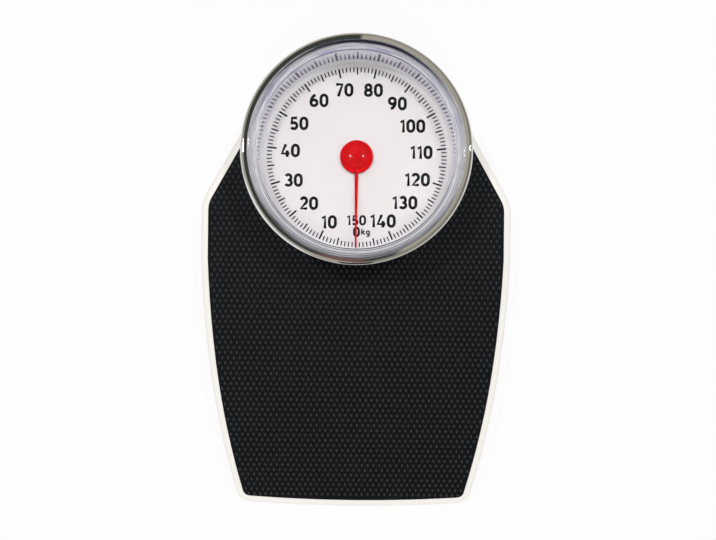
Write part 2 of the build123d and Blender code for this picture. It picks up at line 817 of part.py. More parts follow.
with BuildPart() as crank_pin:
    with BuildSketch(Plane(origin=(crank_pin_x[0], 0, 0), x_dir=(0, 1, 0), z_dir=(1, 0, 0))):
        with Locations((crank_y, crank_z)):
            Circle(crank_pin_radius)
    extrude(amount=crank_pin_x[1] - crank_pin_x[0])
finish("crank_pin", crank_pin.part)

# Gear plates on four stepped pillars
crank_slot_half = crank_out_arm * sin(crank_swing / 2)
for plate_name, plate_z in (("gear_plate_lower", lower_plate_z), ("gear_plate_upper", upper_plate_z)):
    with BuildPart() as gear_plate:
        with BuildSketch(Plane.XY.offset(plate_z[0])):
            with Locations((sum(gear_plate_x) / 2, sum(gear_plate_y) / 2)):
                plate_size = (gear_plate_x[1] - gear_plate_x[0], gear_plate_y[1] - gear_plate_y[0])
                RectangleRounded(*plate_size, gear_plate_round)
            with Locations((0, dial_y)):
                Circle(spindle_radius + running_gap, mode=Mode.SUBTRACT)
            with Locations(*gear_pillars):
                Circle(pillar_rivet, mode=Mode.SUBTRACT)
            if plate_name == "gear_plate_lower":
                with Locations((sum(crank_x) / 2, crank_y)):
                    slot_length = 2 * (crank_slot_half + crank_slot_spare)
                    Rectangle(crank_slot_width, slot_length, mode=Mode.SUBTRACT)
        extrude(amount=plate_z[1] - plate_z[0])
    finish(plate_name, gear_plate.part)

with BuildPart() as pillars:
    for radius, low, high in (
        (pillar_rivet, pan_floor, upper_plate_z[1]),
        (pillar_radius, pan_floor, lower_plate_z[0]),
        (pillar_radius, lower_plate_z[1], upper_plate_z[0]),
    ):
        with BuildSketch(Plane.XY.offset(low)):
            with Locations(*gear_pillars):
                Circle(radius)
        extrude(amount=high - low)
finish("gear_pillars", pillars.part)


# Springs
with BuildPart() as main_spring:
    with BuildSketch(Plane.XY.offset(nose_plate_top)):
        with Locations((0, spring_y)):
            Circle(spring_radius)
            Circle(spring_radius - spring_wire, mode=Mode.SUBTRACT)
    extrude(amount=adjust_z[0] - nose_plate_top)
finish("main_spring", main_spring.part)

with BuildPart() as return_spring:
    with BuildSketch(Plane.XY.offset(pan_floor + ear_thick)):
        with Locations((pull_spring_x, pull_y)):
            Circle(pull_spring_radius)
            Circle(pull_spring_radius - pull_spring_wire, mode=Mode.SUBTRACT)
    extrude(amount=pull_z - pull_pin_radius - pull_spring_gap - pan_floor - ear_thick)
finish("return_spring", return_spring.part)


# Neck: stands on the pan on four legs and comes up through the platform
with BuildPart() as wheel_gap:
    with BuildSketch(Plane.XY.offset(wheel_z[0] - 1)):
        with Locations(wheel_at):
            Circle(wheel_radius + 1)
    extrude(amount=wheel_z[1] - wheel_z[0] + 2)

with BuildPart() as dial_neck:
    with BuildSketch(Plane.XY.offset(neck_bottom)):
        with Locations((0, dial_y)):
            Circle(neck_radius)
            Circle(neck_radius - neck_wall, mode=Mode.SUBTRACT)
    extrude(amount=neck_top - neck_bottom)
    with BuildSketch(Plane.XY.offset(pan_floor)):
        with Locations(*leg_spots):
            Circle(leg_radius)
    extrude(amount=neck_top - pan_floor)
    with BuildSketch(Plane.XY.offset(pan_floor)):
        with Locations(*leg_spots):
            Circle(leg_screw_radius)
    extrude(amount=leg_screw_top - pan_floor, mode=Mode.SUBTRACT)
    add(wheel_gap.part, mode=Mode.SUBTRACT)
finish("dial_neck", dial_neck.part)

# Dial bowl: the raised housing that flares from the neck to the bezel
with BuildPart() as dial_bowl:
    revolve(
        turned(
            (
                (neck_radius, neck_top),
                *bowl_flare,
                (bowl_radius, bowl_rim),
                (bowl_radius - bowl_wall, bowl_rim),
                (bowl_radius - bowl_wall, dial_z[0]),
                *bowl_inside,
                (neck_radius - neck_wall, neck_top),
            ),
            ((0, flare_middles[0]), (2, flare_middles[1])),
        ),
        axis=dial_axis,
    )
    add(wheel_gap.part, mode=Mode.SUBTRACT)
finish("dial_bowl", dial_bowl.part)

with BuildPart() as head_screws:
    with BuildSketch(Plane.XY.offset(pan_bottom)):
        with Locations(*leg_spots):
            Circle(leg_screw_radius)
    extrude(amount=leg_screw_top - pan_bottom)
    with BuildSketch(Plane.XY.offset(pan_bottom - leg_screw_head)):
        with Locations(*leg_spots):
            Circle(2 * leg_screw_radius)
    extrude(amount=leg_screw_head)
finish("head_screws", head_screws.part)

# Dial plate: a flat disc with a hole for the spindle
with BuildPart() as dial_plate:
    with BuildSketch(Plane.XY.offset(dial_z[0])):
        with Locations((0, dial_y)):
            Circle(dial_plate_radius)
            Circle(dial_plate_hole, mode=Mode.SUBTRACT)
    extrude(amount=dial_z[1] - dial_z[0])
finish("dial_plate", dial_plate.part)

# Surround: the ring that clamps the dial plate and carries the foot of the inner wall
surround_outer = bowl_radius - bowl_wall - fit_gap
with BuildPart() as dial_surround:
    revolve(
        turned(
            (
                (surround_inner, dial_z[1]),
                (dial_plate_radius + fit_gap, dial_z[1]),
                (dial_plate_radius + fit_gap, dial_z[0]),
                (surround_outer, dial_z[0]),
                (surround_outer, surround_top),
                (surround_inner + surround_edge, surround_top),
                (surround_inner, surround_top - surround_edge),
            )
        ),
        axis=dial_axis,
    )
finish("dial_surround", dial_surround.part)

# Band: a bright inner wall with a flange that the bezel clamps to the rim of the bowl
with BuildPart() as lens_band:
    revolve(
        turned(
            (
                (band_radius[0], surround_top),
                (band_radius[0], seal_top),
                (band_radius[1], seal_top),
                (band_radius[1], band_flange_z[1]),
                (bowl_radius, band_flange_z[1]),
                (bowl_radius, band_flange_z[0]),
                (band_radius[1], band_flange_z[0]),
                (band_radius[1], surround_top),
            )
        ),
        axis=dial_axis,
    )
finish("lens_band", lens_band.part)

# Seal: a pale flat ring on the flange, under the foot of the lens
with BuildPart() as lens_seal:
    with BuildSketch(Plane.XY.offset(band_flange_z[1])):
        with Locations((0, dial_y)):
            Circle(bowl_radius)
            Circle(band_radius[1], mode=Mode.SUBTRACT)
    extrude(amount=seal_top - band_flange_z[1])
finish("lens_seal", lens_seal.part)

# Lens: a clear disc with a thick foot round its edge, notched at both ends for the moulding keys
quarter_turn = lens_round * (1 - cos(pi / 4))
with BuildPart() as lens_cover:
    revolve(
        turned(
            (
                (0, lens_z[1]),
                (lens_radius - lens_round, lens_z[1]),
                (lens_radius, lens_z[1] - lens_round),
                (lens_radius, seal_top),
                (lens_skirt_radius[1], seal_top),
                (lens_skirt_radius[0], lens_z[0] - lens_fillet),
                (lens_skirt_radius[0] - lens_fillet, lens_z[0]),
                (0, lens_z[0]),
            ),
            ((1, (lens_radius - quarter_turn, lens_z[1] - quarter_turn)),),
        ),
        axis=dial_axis,
    )
    with BuildSketch(Plane.XY.offset(seal_top)):
        with Locations((0, dial_y)):
            Rectangle(key_width, 2 * bowl_radius)
            Circle(lens_skirt_radius[0] - lens_fillet, mode=Mode.SUBTRACT)
    extrude(amount=key_height, mode=Mode.SUBTRACT)
finish("lens_cover", lens_cover.part)

# Bezel: the bright ring round the lens
with BuildPart() as bezel_ring:
    revolve(
        turned(
            (
                (bowl_radius, bezel_skirt[1]),
                (bowl_radius, bezel_shelf[1]),
                bezel_shelf,
                (bezel_lip[0], bezel_inner_edge),
                bezel_lip,
                bezel_crest,
                (bezel_radius, bezel_wide_z),
                bezel_skirt,
            ),
            ((4, bezel_middles[0]), (5, bezel_middles[1])),
        ),
        axis=dial_axis,
    )
finish("bezel_ring", bezel_ring.part)

# Pointer: a domed hub and a ridged needle that points to the zero at the heel side
dome_reach = hub_step_radius - hub_step
dome_foot = hub_z[1] + hub_step
dome_rise = hub_z[2] - dome_foot
dome_radius = (dome_reach**2 + dome_rise**2) / 2 / dome_rise
dome_middle = (dome_reach / 2, hub_z[2] - dome_radius + (dome_radius**2 - dome_reach**2 / 4) ** 0.5)
with BuildPart() as pointer_hub:
    revolve(
        turned(
            (
                (0, hub_z[0] + hub_recess),
                (spindle_radius, hub_z[0] + hub_recess),
                (spindle_radius, hub_z[0]),
                (hub_radius, hub_z[0]),
                (hub_radius, hub_z[1] - hub_edge),
                (hub_radius - hub_edge, hub_z[1]),
                (hub_step_radius, hub_z[1]),
                (dome_reach, dome_foot),
                (0, hub_z[2]),
            ),
            ((7, dome_middle),),
        ),
        axis=dial_axis,
    )
finish("pointer_hub", pointer_hub.part)

with BuildPart() as pointer_needle:
    for reach, (half, height) in ((hub_step_radius + fit_gap, needle_root), (needle_length, needle_tip)):
        with BuildSketch(Plane(origin=(0, dial_y - reach, hub_z[1]), x_dir=(1, 0, 0), z_dir=(0, -1, 0))):
            Polygon((-half, 0), (half, 0), (0, height), align=None)
    loft()
finish("pointer_needle", pointer_needle.part)
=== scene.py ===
import json
from math import cos, pi, radians, sin

import bmesh
import bpy
from mathutils import Matrix, Vector
from mathutils.bvhtree import BVHTree


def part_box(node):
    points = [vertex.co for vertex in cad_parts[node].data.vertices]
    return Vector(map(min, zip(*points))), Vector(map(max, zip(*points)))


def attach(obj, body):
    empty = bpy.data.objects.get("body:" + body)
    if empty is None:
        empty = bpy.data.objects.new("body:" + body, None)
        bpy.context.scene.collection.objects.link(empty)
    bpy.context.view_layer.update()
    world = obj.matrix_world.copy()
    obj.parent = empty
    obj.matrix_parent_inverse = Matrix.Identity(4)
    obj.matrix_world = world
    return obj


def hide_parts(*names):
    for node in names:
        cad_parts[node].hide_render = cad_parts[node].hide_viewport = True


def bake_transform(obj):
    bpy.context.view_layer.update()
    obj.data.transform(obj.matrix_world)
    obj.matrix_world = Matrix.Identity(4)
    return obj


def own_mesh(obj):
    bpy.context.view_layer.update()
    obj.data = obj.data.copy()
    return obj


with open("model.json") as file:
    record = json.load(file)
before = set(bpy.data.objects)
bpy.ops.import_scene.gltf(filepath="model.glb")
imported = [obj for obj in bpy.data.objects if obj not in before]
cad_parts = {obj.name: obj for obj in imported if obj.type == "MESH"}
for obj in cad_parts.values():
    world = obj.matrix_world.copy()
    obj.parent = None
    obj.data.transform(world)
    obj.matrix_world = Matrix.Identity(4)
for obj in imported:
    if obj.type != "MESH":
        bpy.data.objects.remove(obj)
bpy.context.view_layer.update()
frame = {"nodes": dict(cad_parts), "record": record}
scene = bpy.context.scene
nodes = frame["nodes"]
print("stage: frame loaded with", len(nodes), "nodes")

mm = 0.001
weld = 1e-6  # corners nearer to each other than this are one
dialCentre = Vector((0, 0.1224, 0))


# A socket that can be used in sums, so shader maths reads as plain expressions
class Wire:
    def __init__(self, socket):
        self.socket = socket

    def sum(self, operation, left, right):
        node = self.socket.id_data.nodes.new("ShaderNodeMath")
        node.operation = operation
        for spot, value in enumerate((left, right)):
            if isinstance(value, Wire):
                self.socket.id_data.links.new(value.socket, node.inputs[spot])
            else:
                node.inputs[spot].default_value = value
        return Wire(node.outputs[0])

    def __add__(self, other):
        return self.sum("ADD", self, other)

    def __radd__(self, other):
        return self.sum("ADD", other, self)

    def __sub__(self, other):
        return self.sum("SUBTRACT", self, other)

    def __rsub__(self, other):
        return self.sum("SUBTRACT", other, self)

    def __mul__(self, other):
        return self.sum("MULTIPLY", self, other)

    def __rmul__(self, other):
        return self.sum("MULTIPLY", other, self)

    def __abs__(self):
        return self.sum("ABSOLUTE", self, 0)


# A node tree with one way to add a node: its type, its settings, then its sockets
class Recipe:
    def __init__(self, tree):
        self.tree = tree

    def add(self, kind, settings=None, sockets=None, out=0):
        node = self.tree.nodes.new("ShaderNode" + kind)
        for key, value in (settings or {}).items():
            setattr(node, key, value)
        for key, value in (sockets or {}).items():
            self.put(node.inputs[key], value)
        return Wire(node.outputs[out])

    def put(self, socket, value):
        if isinstance(value, Wire):
            self.tree.links.new(value.socket, socket)
        elif socket.type == "RGBA" and len(value) == 3:
            socket.default_value = (*value, 1)
        else:
            socket.default_value = value

    def split(self, vector, axes):
        return [self.add("SeparateXYZ", None, {0: vector}, out=axis) for axis in axes]

    def step(self, value, start, end):
        # climbs from 0 at start to 1 at end
        return self.add("MapRange", None, {"Value": value, "From Min": start, "From Max": end})

    def blend(self, factor, first, second):
        return self.add("Mix", {"data_type": "RGBA"}, {0: factor, 6: first, 7: second}, out=2)

    def bump(self, height, strength, distance):
        return self.add("Bump", None, {"Height": height, "Strength": strength, "Distance": distance})


# A material made of one Principled shader
class Finish(Recipe):
    def __init__(self, name, **plain):
        self.material = bpy.data.materials.new(name)
        self.material.use_nodes = True
        super().__init__(self.material.node_tree)
        self.shader = self.tree.nodes["Principled BSDF"]
        self.set(**plain)

    def set(self, **sockets):
        for key, value in sockets.items():
            self.put(self.shader.inputs[key.replace("_", " ")], value)

    def mixIn(self, factor, other):
        # the shader itself where factor is 0, the other one where it is 1
        output = self.tree.nodes["Material Output"].inputs["Surface"]
        own = Wire(self.shader.outputs["BSDF"])
        self.put(output, self.add("MixShader", None, {0: factor, 1: own, 2: other}))

    def noise(self, scale, detail=3.0, stretch=None):
        where = self.add("TexCoord", out="Object")
        if stretch:
            where = self.add("Mapping", None, {"Vector": where, "Scale": stretch})
        return self.add("TexNoise", None, {"Vector": where, "Scale": scale, "Detail": detail})

    def polar(self):
        # distance from the dial axis, the turn round it, and the distance towards 12 o'clock
        here = self.add("TexCoord", out="Object")
        where = self.add("Mapping", None, {"Vector": here, "Location": -dialCentre})
        flat = self.add("Mapping", None, {"Vector": where, "Scale": (1, 1, 0)})
        reach = self.add("VectorMath", {"operation": "LENGTH"}, {0: flat}, out="Value")
        x, y = self.split(where, "XY")
        return reach, x.sum("ARCTAN2", y, x), y

    def streaks(self, reach, turn, around, outward):
        # noise drawn out round the dial axis
        where = self.add("CombineXYZ", None, {0: around * turn, 1: outward * reach})
        return self.add("TexNoise", None, {"Vector": where, "Scale": 1.0, "Detail": 3.0})

    def ends(self, up):
        # 1 at the top and the foot of the dial, 0 at its sides
        return self.step(up, *lensLook["top"]) + self.step(up, *lensLook["foot"])


paint = {
    "cover": (0.97, 0.945, 0.885),
    "coverShade": (0.945, 0.915, 0.855),
    "pan": (0.70, 0.69, 0.66),
    "panShade": (0.64, 0.63, 0.6),
    "dial": (0.87, 0.825, 0.82),
    "dialEdge": (0.87, 0.84, 0.85),
    "ink": (0.006, 0.006, 0.007),
    "lightInk": (0.022, 0.02, 0.022),
    "rubber": (0.0026, 0.0038, 0.0056),
    "rubberWorn": (0.0045, 0.0060, 0.0082),
    # pimple rubber painted far lighter than the mat: a painted highlight on their tops; the lighter clouds
    # are wear as well
    "pip": (0.033, 0.037, 0.041),
    "pipWornAndHighlight": (0.046, 0.051, 0.056),
    "bowl": (0.82, 0.81, 0.8),
    "surround": (0.94, 0.93, 0.945),
    "red": (0.60, 0.003, 0.006),
    "wheel": (0.02, 0.02, 0.022),
    "bezel": (0.84, 0.83, 0.81),
    "band": (0.80, 0.80, 0.90),
    "brass": (0.78, 0.58, 0.27),
    "rack": (0.76, 0.74, 0.68),
    "steel": (0.62, 0.62, 0.61),
    "wire": (0.34, 0.34, 0.36),
    "zinc": (0.62, 0.64, 0.64),
    "seal": (0.82, 0.81, 0.85),
    "sealStreak": (0.60, 0.60, 0.66),
    "sealBlue": (0.34, 0.35, 0.56),
    "sealLine": (0.09, 0.09, 0.11),
    # painted shadow at the seal's outer edge
    "sealRimShadow": (0.02, 0.022, 0.045),
    "lens": (0.985, 0.985, 0.985),
    # painted dark shade for the lens edge
    "lensEdgeShade": (0.012, 0.014, 0.045),
    "lensShadow": (0.96, 0.96, 0.96),
}

# How each kind of surface varies: noises as (scale, detail) for its cloudy colour, its wear
# in roughness and its relief, and how dark the clouds are where no shade of their own is given
surfaces = {
    # sprayed paint: faint cloudiness, fine orange peel
    "enamel": {
        "cloud": (9, 4), "wear": (35, 3), "relief": (900, 2), "depth": (0.12, 0.0002),
        "uneven": 0.14, "gloss": 0.5, "metallic": 0.0,
    },
    # moulded rubber: dull skin with fine grit, a little dust-grey from use
    "rubber": {
        "cloud": (26, 5), "wear": (2600, 2), "relief": (2600, 2), "depth": (0.25, 0.00012),
        "uneven": 0.12, "gloss": 0.18, "metallic": 0.0,
    },
    # injection moulding: slight mottling and very fine texture
    "plastic": {
        "cloud": (60, 3), "wear": (240, 2), "relief": (1500, 1), "depth": (0.05, 0.0001),
        "uneven": 0.08, "gloss": 0.5, "metallic": 0.0, "shade": 0.96,
    },
    # plated ring: near mirror with a faint haze
    "chrome": {
        "cloud": (70, 4), "wear": (70, 4), "relief": (300, 2), "depth": (0.03, 0.0001),
        "uneven": 0.025, "gloss": 0.5, "metallic": 1.0, "shade": 0.93,
    },
}
# bare or plated metal: drawn or rolled grain, uneven shine
for kind, grain in ("metal", 400), ("wire", 700), ("zinc", 180):
    surfaces[kind] = {
        "cloud": (22, 3), "wear": (grain, 4), "relief": (grain, 4), "depth": (0.12, 0.0001),
        "uneven": 0.16, "gloss": 0.5, "metallic": 1.0, "shade": 0.82,
    }


def surface(name, kind, colour, rough, shade=None, stretch=None, gloss=None):
    look = surfaces[kind]
    finish = Finish(name, Metallic=look["metallic"], Specular_IOR_Level=gloss or look["gloss"])
    fresh = paint[colour]
    dull = paint[shade] if shade else [channel * look["shade"] for channel in fresh]
    finish.set(
        Base_Color=finish.blend(finish.noise(*look["cloud"]), fresh, dull),
        Roughness=rough + look["uneven"] * finish.noise(*look["wear"], stretch),
        Normal=finish.bump(finish.noise(*look["relief"], stretch), *look["depth"]),
    )
    return finish.material


dialLook = {
    "edge": (0.05, 0.09),
    "fleck": 700,
    "depth": (0.04, 0.0001),
    "rough": 0.5,
    "uneven": 0.1,
    "gloss": 0.3,
}


def dialFace():
    # flat print paper white, drifting to lavender near the rim
    finish = Finish("dialFace", Specular_IOR_Level=dialLook["gloss"])
    edge = finish.step(finish.polar()[0], *dialLook["edge"])
    fleck = finish.noise(dialLook["fleck"])
    finish.set(
        Base_Color=finish.blend(edge, paint["dial"], paint["dialEdge"]),
        Roughness=dialLook["rough"] + dialLook["uneven"] * fleck,
        Normal=finish.bump(fleck, *dialLook["depth"]),
    )
    return finish.material


sealLook = {
    "streaks": (9.0, 900.0),
    "streakEdge": (0.35, 0.7),
    "patches": (2.5, 500.0),
    "patchEdge": (0.5, 0.62),
    "patchTop": (-0.02, 0.07),
    "lines": (95.4, 93.2, 91.7, 88.9),
    "lineEdge": (0.0005, 0.0002),
    "lineFaint": 0.2,
    "lineStrong": 0.6,
    "lineFoot": (0.01, -0.05),
    "rim": (0.0942, 0.0948),
    "rimShadowStrength": 0.85,
    "rough": 0.3,
    "uneven": 0.1,
    "gloss": 0.4,
}


def sealFace():
    # pale seal seen through the lens foot: round streaks, fine turned lines, bluer to the top, and a painted
    # shadow along its outer edge at the top and the foot
    finish = Finish("sealFace", Specular_IOR_Level=sealLook["gloss"])
    reach, turn, up = finish.polar()
    streak = finish.step(finish.streaks(reach, turn, *sealLook["streaks"]), *sealLook["streakEdge"])
    patch = finish.step(finish.streaks(reach, turn, *sealLook["patches"]), *sealLook["patchEdge"])
    blue = patch * finish.step(up, *sealLook["patchTop"])
    colour = finish.blend(streak, paint["seal"], paint["sealStreak"])
    colour = finish.blend(blue, colour, paint["sealBlue"])
    strength = sealLook["lineFaint"] + sealLook["lineStrong"] * finish.step(up, *sealLook["lineFoot"])
    for place in sealLook["lines"]:
        near = finish.step(abs(reach - place * mm), *sealLook["lineEdge"])
        colour = finish.blend(strength * near, colour, paint["sealLine"])
    # painted shadow along the seal's outer edge, at the top and the foot only
    rim = finish.step(reach, *sealLook["rim"]) * finish.ends(up)
    colour = finish.blend(sealLook["rimShadowStrength"] * rim, colour, paint["sealRimShadow"])
    finish.set(Base_Color=colour, Roughness=sealLook["rough"] + sealLook["uneven"] * streak)
    return finish.material


lensLook = {
    "top": (0.045, 0.088),
    "foot": (-0.03, -0.065),
    "edge": (0.0934, 0.094),
    "sides": 0.08,
    "patches": (1.6, 300.0),
    "patchEdge": (0.35, 0.6),
    "patchLow": 0.6,
    "scratches": 120,
    "rough": 0.006,
    "uneven": 0.012,
    "index": 1.49,
}


def clearLens():
    # clear plastic that lamps shine through, with painted dark blue shade where its rounded edge is seen
    finish = Finish("clearLens", IOR=lensLook["index"], Transmission_Weight=1.0)
    reach, turn, up = finish.polar()
    patch = finish.step(finish.streaks(reach, turn, *lensLook["patches"]), *lensLook["patchEdge"])
    patch = lensLook["patchLow"] + (1 - lensLook["patchLow"]) * patch
    around = lensLook["sides"] + (1 - lensLook["sides"]) * finish.ends(up)
    # painted dark shade at the rounded edge, strongest at the top and the foot
    edge = finish.step(reach, *lensLook["edge"]) * around * patch
    finish.set(
        Base_Color=finish.blend(edge, paint["lens"], paint["lensEdgeShade"]),
        Roughness=lensLook["rough"] + lensLook["uneven"] * finish.noise(lensLook["scratches"]),
    )
    lamp = finish.add("LightPath", out="Is Shadow Ray")
    finish.mixIn(lamp, finish.add("BsdfTransparent", None, {"Color": paint["lensShadow"]}))
    return finish.material


# Each finish by its slot: name, kind of surface, colour and roughness
finishes = {
    "white_paint": surface("coverEnamel", "enamel", "cover", 0.34, "coverShade"),
    "pan_paint": surface("panEnamel", "enamel", "pan", 0.34, "panShade"),
    "black_rubber": surface("matRubber", "rubber", "rubber", 0.62, "rubberWorn"),
    # pimples: the mat's rubber painted lighter, a painted highlight
    "pips": surface("pipRubberHighlight", "rubber", "pip", 0.4, "pipWornAndHighlight"),
    "white_plastic": surface("bowlPlastic", "plastic", "bowl", 0.22),
    "white_gloss": surface("surroundPlastic", "plastic", "surround", 0.19),
    "seal": sealFace(),
    "dial_paint": dialFace(),
    "clear_plastic": clearLens(),
    "bright_ring": surface("bezelChrome", "chrome", "bezel", 0.012),
    "bright_band": surface("bandPolish", "chrome", "band", 0.15),
    "red_plastic": surface("pointerRed", "plastic", "red", 0.09, gloss=0.22),
    "black_plastic": surface("wheelPlastic", "plastic", "wheel", 0.35),
    "brass": surface("turnedBrass", "metal", "brass", 0.22, stretch=(1, 1, 6)),
    "rack_plastic": surface("acetal", "plastic", "rack", 0.35),
    "bright_steel": surface("groundSteel", "metal", "steel", 0.2, stretch=(1, 8, 1)),
    "spring_steel": surface("drawnWire", "wire", "wire", 0.25),
    "zinc_steel": surface("zincPlate", "zinc", "zinc", 0.28, stretch=(1, 5, 1)),
    "ink": surface("printInk", "plastic", "ink", 0.6, gloss=0.08),
    "lightInk": surface("fineInk", "plastic", "lightInk", 0.6, gloss=0.1),
}
slotOf = {part["node"]: part["material_slot"] for part in frame["record"]["subparts"]}
for name, node in nodes.items():
    for spot in node.material_slots:
        spot.material = finishes[slotOf[name]]
print("stage: finishes on the CAD nodes")


def makePiece(name, shape, material, body, sharp=30):
    # turns a bmesh into a finished piece in the scene; edges over sharp degrees stay crisp
    bmesh.ops.recalc_face_normals(shape, faces=shape.faces)
    mesh = bpy.data.meshes.new(name)
    shape.to_mesh(mesh)
    shape.free()
    mesh.shade_smooth()
    if sharp:
        mesh.set_sharp_from_angle(angle=radians(sharp))
    piece = bpy.data.objects.new(name, mesh)
    scene.collection.objects.link(piece)
    mesh.materials.append(material)
    if body:
        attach(piece, body)
    return piece


def join(shapes):
    # one bmesh out of several
    whole = bmesh.new()
    for shape in shapes:
        mesh = bpy.data.meshes.new("part")
        shape.to_mesh(mesh)
        shape.free()
        whole.from_mesh(mesh)
        bpy.data.meshes.remove(mesh)
    return whole


def arcPoints(start, middle, end, steps):
    # points on the arc through three points, end left out
    (ax, ay), (bx, by), (cx, cy) = start, middle, end
    a, b, c = ax * ax + ay * ay, bx * bx + by * by, cx * cx + cy * cy
    d = 2 * (ax * (by - cy) + bx * (cy - ay) + cx * (ay - by))
    ux = (a * (by - cy) + b * (cy - ay) + c * (ay - by)) / d
    uy = (a * (cx - bx) + b * (ax - cx) + c * (bx - ax)) / d
    first, halfway, last = (Vector((x - ux, y - uy)) for x, y in (start, middle, end))
    turn = last.angle_signed(first)
    if abs(halfway.angle_signed(first)) > abs(turn):
        turn -= 2 * pi * (1 if turn > 0 else -1)
    spokes = (Matrix.Rotation(turn * k / steps, 2) @ first for k in range(steps))
    return [(ux + spoke.x, uy + spoke.y) for spoke in spokes]


def spun(points, closed, steps):
    # turned ring or disc: (radius, height) points in mm, spun round the dial axis
    shape = bmesh.new()
    verts = [shape.verts.new((dialCentre.x + r * mm, dialCentre.y, z * mm)) for r, z in points]
    last = len(verts) if closed else len(verts) - 1
    edges = [shape.edges.new((verts[k], verts[(k + 1) % len(verts)])) for k in range(last)]
    bmesh.ops.spin(
        shape, geom=verts + edges, cent=dialCentre, axis=(0, 0, 1), angle=2 * pi, steps=steps, use_merge=True
    )
    bmesh.ops.remove_doubles(shape, verts=shape.verts, dist=weld)
    return shape


# Bezel: the bright ring round the lens; an arc is its start, middle and end, and its steps
bezel = {
    "inside": [(98.9, 67), (98.9, 86.5), (96.4, 86.5), (95.8, 87.5)],
    "lip": [(95.8, 92.7), (97.05, 93.45), (98.35, 94.1), 8],
    "crest": [(98.35, 94.1), (98.6, 94.2), (98.85, 94.1), 6],
    "crown": [(98.85, 94.1), (100.95, 92.95), (102.1, 91), 12],
    "skirt": [(102.1, 91), (100.2, 67)],
    "around": 320,
}
profile = bezel["inside"] + arcPoints(*bezel["lip"]) + arcPoints(*bezel["crest"])
profile += arcPoints(*bezel["crown"]) + bezel["skirt"]
turned = spun(profile, True, bezel["around"])
ring = makePiece("bezelRing", turned, finishes["bright_ring"], "base")
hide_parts("bezel_ring")
print("stage: bezel")

# Head: inner wall, seal, dial surround, lens and hub, turned smooth
head = {
    "band": [
        (87.6, 71.9), (87.6, 86.5), (89.4, 86.5), (89.4, 85.5), (98.9, 85.5), (98.9, 84), (89.4, 84),
        (89.4, 71.9),
    ],
    "seal": [(89.4, 85.5), (89.4, 86.5), (87.65, 86.5), (87.65, 86.6), (98.9, 86.6), (98.9, 85.5)],
    "surround": [(87.9, 64), (91.1, 64), (91.1, 63), (96.5, 63), (96.5, 71.9), (88.5, 71.9), (87.9, 71.3)],
    "lensFace": (0, 92.5),
    "lensRim": [(94.4, 92.5), (95.25, 92.15), (95.6, 91.3), 8],
    "lensFoot": [(95.6, 86.56), (88.0, 86.56), (87.7, 89.9), (87.1, 90.5)],
    "lensBack": (0, 90.5),
    "hubDisc": [(0, 66), (1.5, 66), (1.5, 65), (15.45, 65)],
    "hubRim": [(15.45, 66.0), (15.27, 66.42), (14.85, 66.6), 5],
    "hubStep": [(10.8, 66.6), (10.55, 66.95), (10.1, 67.3), 5],
    "domeTop": (0, 69.3),
    "domeSteps": 14,
}
domeFoot, domeTop = head["hubStep"][2], head["domeTop"]
rise = domeTop[1] - domeFoot[1]
radius = (domeFoot[0] ** 2 + rise**2) / 2 / rise
halfway = (domeFoot[0] / 2, domeTop[1] - radius + (radius**2 - domeFoot[0] ** 2 / 4) ** 0.5)
hubProfile = head["hubDisc"] + arcPoints(*head["hubRim"]) + [head["hubRim"][2]]
hubProfile += arcPoints(*head["hubStep"]) + arcPoints(domeFoot, halfway, domeTop, head["domeSteps"])
hubProfile += [domeTop]
lensProfile = [head["lensFace"]] + arcPoints(*head["lensRim"]) + [head["lensRim"][2]]
lensProfile += head["lensFoot"] + [head["lensBack"]]
# name, profile, finish, CAD node, body, whether the profile closes, and steps all round
turnedPieces = (
    ("lensBand", head["band"], "bright_band", "lens_band", "base", True, 320),
    ("lensSeal", head["seal"], "seal", "lens_seal", "base", True, 240),
    ("dialSurround", head["surround"], "white_gloss", "dial_surround", "base", True, 240),
    ("lensDisc", lensProfile, "clear_plastic", "lens_cover", "base", False, 320),
    ("pointerHub", hubProfile, "red_plastic", "pointer_hub", "pointer", True, 128),
)
for name, points, finish, node, body, closed, steps in turnedPieces:
    piece = makePiece(name, spun(points, closed, steps), finishes[finish], body)
    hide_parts(node)
print("stage: head")

# Printed scale: ticks and numbers a hair above the dial plate
dialPrint = {
    "top": 64.0,
    "thickness": 0.03,
    "outer": 83.8,
    "inner": {"one": 79.2, "five": 77.0, "ten": 75.0},
    "width": {"one": 1.1, "five": 1.3, "ten": 1.6},
    "kilos": 150,
    "digitHeight": 12.2,
    "smallHeight": 9.4,
    "unitHeight": 7.6,
    "unitPlace": (8.9, -70.2),
    "stroke": 0.225,
    "thinStroke": 0.16,
    "gap": 0.1,
}
numberPlaces = {
    "10": (-25.2, -60.5), "20": (-44.2, -43.2), "30": (-58.7, -21.8), "40": (-61.9, 5.8),
    "50": (-54.0, 31.1), "60": (-35.6, 52.7), "70": (-12.1, 62.7), "80": (15.0, 62.7),
    "90": (37.4, 50.5), "100": (51.7, 29.7), "110": (60.2, 5.3), "120": (56.7, -20.2),
    "130": (45.2, -41.8), "140": (25.0, -59.1),
}
smallPlaces = {"150": (0.3, -58.7), "0": (0.6, -69.5)}


def tickRing():
    shape = bmesh.new()
    middle = (dialPrint["top"] + dialPrint["thickness"] / 2) * mm
    for kilo in range(dialPrint["kilos"]):
        kind = "ten" if kilo % 10 == 0 else "five" if kilo % 5 == 0 else "one"
        inner = dialPrint["inner"][kind]
        length = dialPrint["outer"] - inner
        angle = radians(-90 - 360 * kilo / dialPrint["kilos"])
        where = (
            Matrix.Translation(dialCentre)
            @ Matrix.Rotation(angle, 4, "Z")
            @ Matrix.Translation(((inner + length / 2) * mm, 0, middle))
            @ Matrix.Diagonal((length * mm, dialPrint["width"][kind] * mm, dialPrint["thickness"] * mm, 1))
        )
        bmesh.ops.create_cube(shape, size=1, matrix=where)
    return shape


